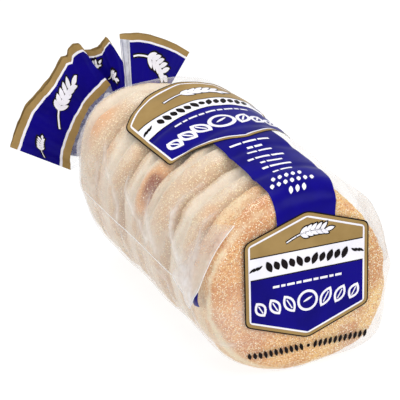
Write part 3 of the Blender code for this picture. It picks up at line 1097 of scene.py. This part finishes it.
def merge_poles(points, faces, columns, rows):
    """Turns the first and the last row of a grid into single points."""
    first = points[:columns].mean(axis=0)
    last = points[-columns:].mean(axis=0)
    inner = points[columns:-columns]
    joined = np.concatenate(([first], inner, [last]))
    keep = np.concatenate(([0], np.arange(columns, columns * (rows - 1)), [columns * rows - 1]))
    end = len(joined) - 1
    out = []
    for face in faces:
        mapped = []
        for index in face:
            if index < columns:
                new = 0
            elif index >= columns * (rows - 1):
                new = end
            else:
                new = index - columns + 1
            if new not in mapped:
                mapped.append(new)
        out.append(tuple(mapped))
    return joined, out, keep


def build_grains(name, piece, crust, count, seed, smallest, largest):
    """Cornmeal: small faceted grains that sit on the baked faces."""
    generator = random.Random(seed)
    mesh = piece.data
    faces = [face for face in mesh.polygons]
    weights = []
    total = 0.0
    for face in faces:
        share = sum(crust[i] for i in face.vertices) / len(face.vertices)
        total += face.area * (0.12 + share * share)
        weights.append(total)
    points, cells, kinds = [], [], []
    for _ in range(count):
        pick = generator.uniform(0, total)
        face = faces[min(int(np.searchsorted(weights, pick)), len(faces) - 1)]
        corners = [mesh.vertices[i].co for i in face.vertices]
        a, b = generator.random(), generator.random()
        if len(corners) == 4:
            spot = corners[0].lerp(corners[1], a).lerp(corners[3].lerp(corners[2], a), b)
        else:
            spot = corners[0].lerp(corners[1], a).lerp(corners[2], b * 0.9)
        spot = spot / MM
        normal = face.normal
        side = normal.orthogonal().normalized()
        spin = generator.uniform(0, 6.28)
        across = side * math.cos(spin) + normal.cross(side) * math.sin(spin)
        other = normal.cross(across)
        size = generator.uniform(smallest, largest)
        long = size * generator.uniform(1.0, 1.5)
        base = len(points)
        middle = spot + normal * (size * 0.25)
        for direction, reach in (
            (across, long), (other, size), (-across, long), (-other, size), (normal, size * 0.8), (-normal, size * 0.8),
        ):
            points.append(tuple(middle + direction * (reach * generator.uniform(0.8, 1.15))))
        for k in range(4):
            cells.append((base + k, base + (k + 1) % 4, base + 4))
            cells.append((base + (k + 1) % 4, base + k, base + 5))
        kind = generator.choice((0, 0, 1))
        kinds.extend([kind] * 8)
    return make_piece(name, points, cells, GRAINS, kinds, None, False)


CRUSTS = [
    crust_material(
        f"crust_{n + 1}",
        srgb(230, 212, 178) if n == 0 else srgb(226, 212, 193),
        srgb(220, 166, 105) if n == 0 else srgb(208, 181, 149),
        srgb(229, 188, 114) if n == 0 else srgb(215, 184, 144),
        srgb(182, 110, 62) if n == 0 else srgb(198, 158, 123),
        n + 1,
    )
    for n in range(MUFFIN_COUNT)
]
GRAINS = [
    grain_material("cornmeal_pale", srgb(250, 232, 186)),
    grain_material("cornmeal_gold", srgb(236, 196, 120)),
]

# ---------------------------------------------------------------- tail
# A tail leaf's spokes from left to right as the closed bag's front shows them: the mouth's edge, a point
# part of the way down, and the printed band's lower edge. Each is (angle, reach, distance past the neck).
TAIL_LEFT = (
    ((-84.6, 65.7, 14.0), None, (-109.3, 35.2, 9.0)),
    ((-72.0, 63.6, 12.4), None, (-93.1, 33.3, 8.8)),
    ((-63.1, 62.3, 12.0), None, (-75.5, 30.6, 8.6)),
    ((-52.4, 57.6, 14.5), None, (-55.6, 30.3, 8.6)),
    ((-45.1, 55.9, 17.0), None, (-47.5, 31.0, 8.7)),
    ((-38.5, 58.8, 15.0), None, (-41.0, 31.8, 8.8)),
    ((-33.4, 61.8, 13.5), None, (-37.0, 31.7, 8.9)),
    ((-30.7, 60.7, 12.5), None, (-34.3, 31.6, 8.9)),
    ((-28.8, 64.0, 12.0), None, (-31.0, 31.5, 9.0)),
    ((-25.6, 65.0, 11.5), None, (-25.0, 32.0, 9.0)),
    ((-22.7, 63.4, 12.0), (-23.0, 50.0, 11.5), (-19.7, 33.4, 8.7)),
    ((-21.9, 59.3, 12.5), (-20.3, 48.5, 12.0), (-15.0, 35.3, 8.0)),
)
TAIL_MIDDLE = (
    ((-33.0, 54.0, 22.0), None, (-36.0, 20.0, 11.0)),
    ((-27.0, 56.0, 21.0), None, (-28.0, 20.0, 10.5)),
    ((-20.3, 54.5, 19.0), None, (-20.0, 20.0, 10.0)),
    ((-16.4, 53.0, 18.0), None, (-16.0, 20.0, 9.5)),
    ((-12.3, 53.8, 16.0), None, (-11.0, 20.0, 9.0)),
    ((-10.7, 56.0, 15.0), (-8.5, 45.5, 12.5), (-8.0, 20.0, 8.5)),
    ((-7.9, 59.6, 13.0), (-4.0, 46.5, 11.5), (-3.5, 20.0, 8.0)),
    ((-6.6, 56.6, 13.0), (0.4, 43.5, 12.0), (0.0, 20.0, 8.0)),
)
TAIL_RIGHT = (
    ((1.7, 56.8, 20.0), (0.6, 45.0, 14.5), (3.2, 22.0, 9.0)),
    ((7.6, 56.7, 19.0), None, (11.0, 22.0, 9.0)),
    ((13.5, 57.1, 18.3), None, (17.0, 22.0, 9.0)),
    ((20.4, 57.3, 17.5), None, (24.0, 22.0, 8.5)),
    ((28.8, 57.3, 16.5), None, (34.0, 22.0, 8.5)),
    ((37.5, 57.8, 17.2), None, (43.0, 22.0, 8.5)),
    ((46.3, 58.6, 18.0), None, (52.0, 22.0, 8.5)),
)
BAND_START = 0.56
MIDDLE_T = 0.80
# The band from its lower edge (0) to the mouth (1): where each colour ends
LEFT_BANDS = ((0.139, GOLD), (0.184, WHITE), (0.838, BLUE), (0.883, WHITE), (1.0, GOLD))
DEEP_BANDS = ((0.10, GOLD), (0.13, WHITE), (0.885, BLUE), (0.915, WHITE), (1.0, GOLD))
LAYER_GAP = 3.0


def tail_place(polar):
    angle, reach, past = polar
    turn = math.radians(angle)
    return np.array((NECK_X + reach * math.sin(turn), NECK_END + past, NECK_Z + reach * math.cos(turn)))


class Leaf:
    """One leaf of the flared mouth. u runs from its left side to its right one, and t from neck to edge."""

    def __init__(self, spokes, seed, shrink=1.0, ripple=0.5):
        edges = [tail_place(spoke[0]) for spoke in spokes]
        lows = []
        for spoke in spokes:
            angle, reach, past = spoke[2]
            lows.append(tail_place((angle, reach * shrink, past)))
        middles = []
        for spoke, edge, low in zip(spokes, edges, lows):
            share = (MIDDLE_T - BAND_START) / (1 - BAND_START)
            middles.append(tail_place(spoke[1]) if spoke[1] else low + (edge - low) * share)
        angles = [math.radians(spoke[2][0]) for spoke in spokes]
        necks = []
        for angle in angles:
            place = (NECK_X + 4.0 * math.sin(angle), NECK_END - 0.5, NECK_Z + 4.0 * math.cos(angle))
            necks.append(np.array(place))
        self.edges, self.middles, self.lows, self.necks = map(np.array, (edges, middles, lows, necks))
        steps = np.linalg.norm(np.diff(self.middles, axis=0), axis=1)
        self.knots = np.concatenate(([0.0], np.cumsum(steps)))
        self.length = self.knots[-1]
        self.seed = seed
        self.ripple = ripple

    def along(self, points, u):
        return np.stack([np.interp(u, self.knots, points[:, axis]) for axis in range(3)], axis=-1)

    def at(self, u, t, lift=0.0, gap=0.0):
        u, t, lift = np.broadcast_arrays(np.asarray(u, float), np.asarray(t, float), lift)
        u = np.clip(u, 0, self.length)
        edge, middle = self.along(self.edges, u), self.along(self.middles, u)
        low, neck = self.along(self.lows, u), self.along(self.necks, u)
        part = np.clip(t / BAND_START, 0, 1)[..., None]
        first = neck + (low - neck) * part ** 1.25
        first[..., 1] = (neck + (low - neck) * (1 - (1 - part) ** 2))[..., 1]
        share = np.clip((t - BAND_START) / (MIDDLE_T - BAND_START), 0, 1)[..., None]
        second = low + (middle - low) * share
        rest = np.clip((t - MIDDLE_T) / (1 - MIDDLE_T), 0, 1)[..., None]
        third = middle + (edge - middle) * rest
        place = np.where(part < 1, first, np.where(share < 1, second, third))
        across = u / self.length
        fade = smooth(across / 0.06) * smooth((1 - across) / 0.06)
        wave = np.sin(u * 0.55 + self.seed) * 0.5 + np.sin(u * 1.25 + self.seed * 2 + t * 3) * 0.25
        wave = wave + np.sin(u * 0.21 + t * 4 + self.seed * 3) * 0.6
        gather = 1.3 * (1 - t) * np.sin(u * 0.9 + self.seed * 5) * np.sin(math.pi * np.clip(t * 1.6, 0, 1))
        height = self.ripple * wave * smooth(t / 0.3) + gather
        place[..., 1] += (-height * fade) - lift
        place[..., 1] += gap * np.sqrt(np.sin(math.pi * np.clip(across, 0.0, 1.0)) + 1e-9) * smooth(t / BAND_START)
        return place


TAIL_MATERIALS = (INK_BLACK, INK_GOLD, INK_WHITE, INK_BLUE, TAIL_FILM)
CLEAR = 4


def build_leaf(name, leaf, bands_up, gap=0.0, clear_until=0.0, haze_and_highlight=0.45, flip=False):
    """A leaf with its clear part and its printed band, each band in rows of its own."""
    columns = max(24, int(leaf.length / 0.8))
    us = np.linspace(0, leaf.length, columns)
    heights, bands = [0.0], []
    for k in range(1, 21):
        heights.append(BAND_START * k / 20)
        bands.append(CLEAR)
    end = BAND_START
    for share, ink in bands_up:
        start = end
        end = BAND_START + (1 - BAND_START) * share
        count = max(1, int((end - start) / 0.02))
        for k in range(1, count + 1):
            heights.append(start + (end - start) * k / count)
            bands.append(ink)
    points, haze_and_highlight_rows = [], []
    for t in heights:
        points.append(leaf.at(us, t, 0.0, gap))
        streak = 0.5 + 0.5 * np.sin(us * 1.1 + leaf.seed) * np.sin(us * 0.37 + 1.0)
        haze_and_highlight_rows.append(haze_and_highlight * (0.45 + 0.75 * streak))
    faces = grid_faces(len(heights), columns, False)
    inks = []
    for ink in bands:
        for k in range(columns - 1):
            clear = ink in (BLUE, WHITE) and clear_until > 0 and us[k] < clear_until
            inks.append(CLEAR if clear else ink)
    if flip:
        faces = [face[::-1] for face in faces]
    values = {"haze_and_highlight": np.concatenate(haze_and_highlight_rows)}
    piece = make_piece(name, np.concatenate(points), faces, TAIL_MATERIALS, inks, values)
    return piece


def leaf_print(name, leaf, layers, scale_t):
    """Ink shapes on a leaf: q in millimetres becomes t by scale_t."""
    def chart(u, q, lift):
        return leaf.at(u, q * scale_t, lift)
    return print_piece(name, layers, chart, 1.5)


# ---------------------------------------------------------------- build everything
film_body = build_film()
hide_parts("bag")

for index in range(MUFFIN_COUNT):
    muffin, baked = build_muffin(index)
    grains = 12000 if index == 0 else 7000
    build_grains(f"cornmeal_{index + 1}", muffin, baked, grains, 100 + index, 0.14, 0.30)

# End label
end_outline = [(0.0, -32.5), (32.7, -20.6), (32.7, 22.0), (0.0, 33.2), (-32.7, 22.0), (-32.7, -20.6)]
end_layers = label_layers(end_outline, 3.0, 3.2, 13.8)
end_layers += logo_layers(0.0, 21.6, 21.0, 8.0, 6)
end_layers += band_row(0.0, 8.4, 24.5, 6.4, 6)
end_layers += end_ticks(-28.6, 8.4, 6, 1) + end_ticks(28.6, 8.4, 6, -1)
end_layers += dash_row(0.0, -2.4, (3.4, 2.2, 4.0, 2.6, 4.6, 2.6, 4.0, 2.2, 3.4), 1.2, 6)
end_layers += leaf_row(0.0, -12.6, 28.0, 9.8, 1.3, 6)
foot = []
for k in range(1, 12):
    for side in (-1, 1):
        foot.append((2, BLACK, lens(side * (1.0 + k * 2.7), -36.7, 4.4, 1.9, 90 - side * 16)))
foot.append((2, BLACK, disc(0.0, -36.7, 0.9)))
print_piece("end_label", moved(skewed(end_layers, -0.017, -0.028), 3.0, 51.0), panel_chart, 1.6)
print_piece("end_label_foot", moved(skewed(foot, -0.017, -0.028), 3.4, 51.0), panel_chart, 1.6)

# Top label
top_outline = [
    (4.0, -15.0), (36.0, -1.0), (37.0, 46.5), (19.0, 57.5),
    (1.5, 59.4), (-18.0, 53.0), (-35.2, 42.4), (-34.1, -0.6),
]
top_layers = label_layers(top_outline, 2.5, 27.2, 35.2)
top_layers += logo_layers(2.0, 44.4, 29.0, 2.0, 6)
top_layers += band_row(1.5, 31.3, 26.0, 6.0, 6)
top_layers += end_ticks(-30.6, 31.3, 6, 1) + end_ticks(32.6, 31.3, 6, -1)
top_layers += dash_row(1.5, 21.3, (3.8, 2.4, 4.4, 2.8, 5.0, 2.8, 4.4, 2.4, 3.8), 1.7, 6)
top_layers += leaf_row(1.5, 8.8, 29.5, 12.4, 2.0, 6)
print_piece("top_label", top_layers, body_chart, 1.3)

# Blue strip from the top label over the front edge to the end label
strip_edges = (
    (PANEL_EDGE - 9.0, -13.1, 17.1),
    (-75.0, -12.9, 18.3),
    (-64.0, -12.8, 20.5),
    (-41.0, -11.7, 22.8),
    (-22.0, -11.5, 22.0),
    (0.0, -12.0, 19.0),
)
strip_layers = []
for (s0, left0, right0), (s1, left1, right1) in zip(strip_edges, strip_edges[1:]):
    strip_layers.append((0, BLUE, [(left0, s0), (right0, s0), (right1, s1), (left1, s1)]))
rows_of_dashes = (
    (-18.5, (6.0, 7.0, 6.0)), (-24.0, (3.0, 4.0)), (-29.0, (5.0, 7.0)), (-35.5, (3.0, 7.5, 6.5)),
    (-41.0, (2.5, 8.0)), (-46.5, (3.0, 11.0)), (-52.0, (3.0, 6.0)),
)
for q, lengths in rows_of_dashes:
    strip_layers += dash_row(2.6, q, lengths, 1.6, 2)
for q, count in ((-59.5, 5), (-65.5, 7), (-71.5, 3)):
    for k in range(count):
        strip_layers.append((2, WHITE, lens(0.8 + (k - (count - 1) / 2) * 3.4, q, 4.4, 2.0, 66)))
print_piece("top_strip", strip_layers, strip_chart, 0.9)

# Tail
left_leaf = Leaf(TAIL_LEFT, 0.7)
middle_leaf = Leaf(TAIL_MIDDLE, 2.1)
right_leaf = Leaf(TAIL_RIGHT, 4.0)
left_back = Leaf(TAIL_LEFT, 0.7, 0.62)
build_leaf("tail_left_front", left_leaf, LEFT_BANDS, 0.0, 0.0, 0.22)
build_leaf("tail_left_back", left_back, LEFT_BANDS, LAYER_GAP, 0.0, 0.3, True)
build_leaf("tail_middle_front", middle_leaf, DEEP_BANDS)
build_leaf("tail_middle_back", middle_leaf, DEEP_BANDS, LAYER_GAP, 0.0, 0.3, True)
build_leaf("tail_right_front", right_leaf, DEEP_BANDS, 0.0, 6.2, 0.75)
build_leaf("tail_right_back", right_leaf, DEEP_BANDS, LAYER_GAP, 0.0, 0.3, True)

# The right leaf's clear strip carries painted highlights, white ink streaks where its clear film shows white
# highlights, and each leaf carries the wheat sprig
left_logos = logo_layers(left_leaf.length * 0.53, 40.0, 25.0, 12.0, 1)
left_logos += logo_layers(left_leaf.length * 0.105, 40.5, 10.0, 14.0, 1)
leaf_print("tail_left_print", left_leaf, left_logos, 0.78 / 40)
right_logos_and_highlights = logo_layers(right_leaf.length * 0.53, 42.3, 20.0, -12.0, 1)
# Painted highlights: white ink streaks standing in for the light on the right leaf's clear strip
streaks = ((0.7, 41.5, 17.0, 0.8), (2.5, 40.0, 20.0, 0.35), (4.4, 42.0, 14.0, 0.5), (5.9, 40.0, 20.0, 0.5))
for u, q, length, width in streaks:
    right_logos_and_highlights.append((1, WHITE, lens(u, q - 1.0, length, width, 90.0)))
leaf_print("tail_right_print_and_highlights", right_leaf, right_logos_and_highlights, 0.79 / 40)
middle_logos = logo_layers(middle_leaf.length * 0.62, 37.5, 9.5, -20.0, 1)
middle_logos += logo_layers(middle_leaf.length * 0.26, 43.0, 10.5, 30.0, 1)
leaf_print("tail_middle_print", middle_leaf, middle_logos, 0.80 / 40)

# Gusset ears: the end's side folds stand off as small flaps, and their folded edges carry a painted highlight where
# they catch the light.
# Each corner is (arc on the left side, length along the bag).
EAR_OUTLINE = (
    (-75.6, -41.1), (-80.0, -50.0), (-82.5, -61.0), (-76.8, -67.0), (-70.3, -69.6), (-62.4, -70.3),
    (-52.9, -70.9), (-46.1, -71.2), (-39.5, -71.3), (-35.0, -71.3), (-41.7, -58.5), (-54.0, -50.0), (-66.4, -43.5),
)
EAR_TIP = (-82.5, -61.0)
EAR_FOLD = ((-91.1, -41.1), (-85.5, -60.0), (-93.0, -67.0))
BLUE_CORNER = ((-80.0, -63.8), (-77.3, -71.2), (-71.0, -69.5), (-71.2, -68.4), (-78.4, -63.0))


def ear_lift(arc, s):
    """How far the ear stands off the film behind it."""
    away = np.hypot(arc - EAR_TIP[0], s - EAR_TIP[1])
    return 0.45 + 1.7 * bump(away, 13.0)


def build_ear(side):
    outline = [(arc * -side, s) for arc, s in EAR_OUTLINE]
    if side > 0:
        outline = outline[::-1]
    charted, faces = cut_to_grid(outline, 1.1)
    flat = np.array(charted)
    left_arc = flat[:, 0] * -side
    lifts = ear_lift(left_arc, flat[:, 1]) + 0.12 * np.sin(left_arc * 0.8 + flat[:, 1] * 0.5)
    points = film(flat[:, 0] / ARC_PER_DEGREE, flat[:, 1], lifts)
    left_angle = left_arc / ARC_PER_DEGREE
    haze_and_highlight = 0.16 + 0.26 * bump(np.hypot(left_arc + 76.0, flat[:, 1] + 58.0), 13.0)
    # Along the fold and the front edge: the doubled film's milkiness plus a painted highlight
    haze_and_highlight = haze_and_highlight + 0.30 * bump(polyline_distance(left_angle, flat[:, 1], EAR_FOLD), 1.6)
    front = polyline_distance(left_angle, flat[:, 1], [(a / ARC_PER_DEGREE, s) for a, s in EAR_OUTLINE[2:10]])
    haze_and_highlight = haze_and_highlight + 0.20 * bump(front, 2.2)
    back = polyline_distance(left_angle, flat[:, 1], [(a / ARC_PER_DEGREE, s) for a, s in EAR_OUTLINE[9:]])
    haze_and_highlight = haze_and_highlight * (0.35 + 0.65 * smooth(back / 6.0))
    word = "left" if side < 0 else "right"
    make_piece(f"ear_{word}", points, faces, [HAZY_FILM], None, {"haze_and_highlight": haze_and_highlight})
    rim = []
    corners = EAR_OUTLINE[0:10]
    for (a0, s0), (a1, s1) in zip(corners, corners[1:]):
        for k in range(8):
            rim.append((a0 + (a1 - a0) * k / 8, s0 + (s1 - s0) * k / 8))
    rim = np.array(rim + [corners[-1]])
    line = film(rim[:, 0] * -side / ARC_PER_DEGREE, rim[:, 1], ear_lift(rim[:, 0], rim[:, 1]) + 0.05)
    points, faces = tube(line.tolist(), 0.22)
    make_piece(f"ear_{word}_hem", points, faces, [HAZY_FILM], None, {"haze_and_highlight": np.full(len(points), 0.8)})


for side in (-1, 1):
    build_ear(side)
    corner = [(arc * -side, s) for arc, s in BLUE_CORNER]
    if side > 0:
        corner = corner[::-1]
    if side < 0:
        print_piece("gusset_print_left", [(0, BLUE, corner)], body_chart, 1.1)



def bridged(values, span):
    """A line drawn taut over its neighbours: the mean of the largest values within a span."""
    padded = np.pad(values, span, mode="edge")
    largest = [padded[i:i + 2 * span + 1].max() for i in range(len(values))]
    padded = np.pad(largest, span, mode="edge")
    return np.array([padded[i:i + 2 * span + 1].mean() for i in range(len(values))])


# Side seams
for side in (-1, 1):
    stations = np.linspace(62, -41, 60)
    fold = film(side * 90.0 + side * 1.2 * smooth((-stations) / 40), stations, 0.0)
    reach = bridged(np.abs(fold[:, 0]), 6) + 0.1
    line = np.stack((side * reach, fold[:, 1], bridged(fold[:, 2], 6)), axis=-1)
    points, faces = tube(line.tolist(), 0.2)
    haze_and_highlight = np.full(len(points), 0.8)
    make_piece(f"side_seam_{'left' if side < 0 else 'right'}", points, faces, [HAZY_FILM], None, {"haze_and_highlight": haze_and_highlight})

# The clip keeps its CAD shape
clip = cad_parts["closure_clip"]
clip_plastic = clip_material("clip_plastic")
for slot_index in range(max(1, len(clip.material_slots))):
    if slot_index < len(clip.material_slots):
        clip.material_slots[slot_index].material = clip_plastic

# ---------------------------------------------------------------- floor, lights, camera
floor_mesh = bpy.data.meshes.new("floor")
floor_mesh.from_pydata([(-4, -4, 0), (4, -4, 0), (4, 4, 0), (-4, 4, 0)], [], [(0, 1, 2, 3)])
floor_mesh.materials.append(floor_material("floor_paper"))
floor = bpy.data.objects.new("floor", floor_mesh)
bpy.context.collection.objects.link(floor)

world = bpy.data.worlds.new("studio")
bpy.context.scene.world = world
world.use_nodes = True
background = world.node_tree.nodes["Background"]
background.inputs["Color"].default_value = (1.0, 1.0, 1.0, 1.0)
background.inputs["Strength"].default_value = 0.6


def area_light(name, place, aim, size, power):
    data = bpy.data.lights.new(name, "AREA")
    data.shape = "RECTANGLE"
    data.size = size[0]
    data.size_y = size[1]
    data.energy = power
    light = bpy.data.objects.new(name, data)
    light.location = place
    direction = Vector(aim) - Vector(place)
    light.rotation_mode = "QUATERNION"
    light.rotation_quaternion = direction.to_track_quat("-Z", "Y")
    bpy.context.collection.objects.link(light)


area_light("key", (0.45, -1.1, 1.0), (0, 0, 0.05), (0.7, 0.7), 9.0)
area_light("fill", (-1.1, -0.6, 0.9), (0, 0, 0.05), (0.9, 0.9), 3.5)
area_light("top", (-0.2, 0.2, 1.3), (0, 0, 0.05), (0.9, 0.7), 7.0)

camera_data = bpy.data.cameras.new("camera")
camera_data.lens = CAMERA_LENS
camera_data.sensor_width = 36.0
camera_data.clip_start = 0.05
camera_data.clip_end = 20.0
camera = bpy.data.objects.new("camera", camera_data)
back = Vector((
    math.sin(CAMERA_AZIMUTH) * math.cos(CAMERA_ELEVATION),
    -math.cos(CAMERA_AZIMUTH) * math.cos(CAMERA_ELEVATION),
    math.sin(CAMERA_ELEVATION),
))
camera.location = CAMERA_TARGET + back * CAMERA_DISTANCE
camera.rotation_mode = "QUATERNION"
camera.rotation_quaternion = (-back).to_track_quat("-Z", "Y")
bpy.context.collection.objects.link(camera)
bpy.context.scene.camera = camera
bpy.context.scene.view_settings.view_transform = "Standard"
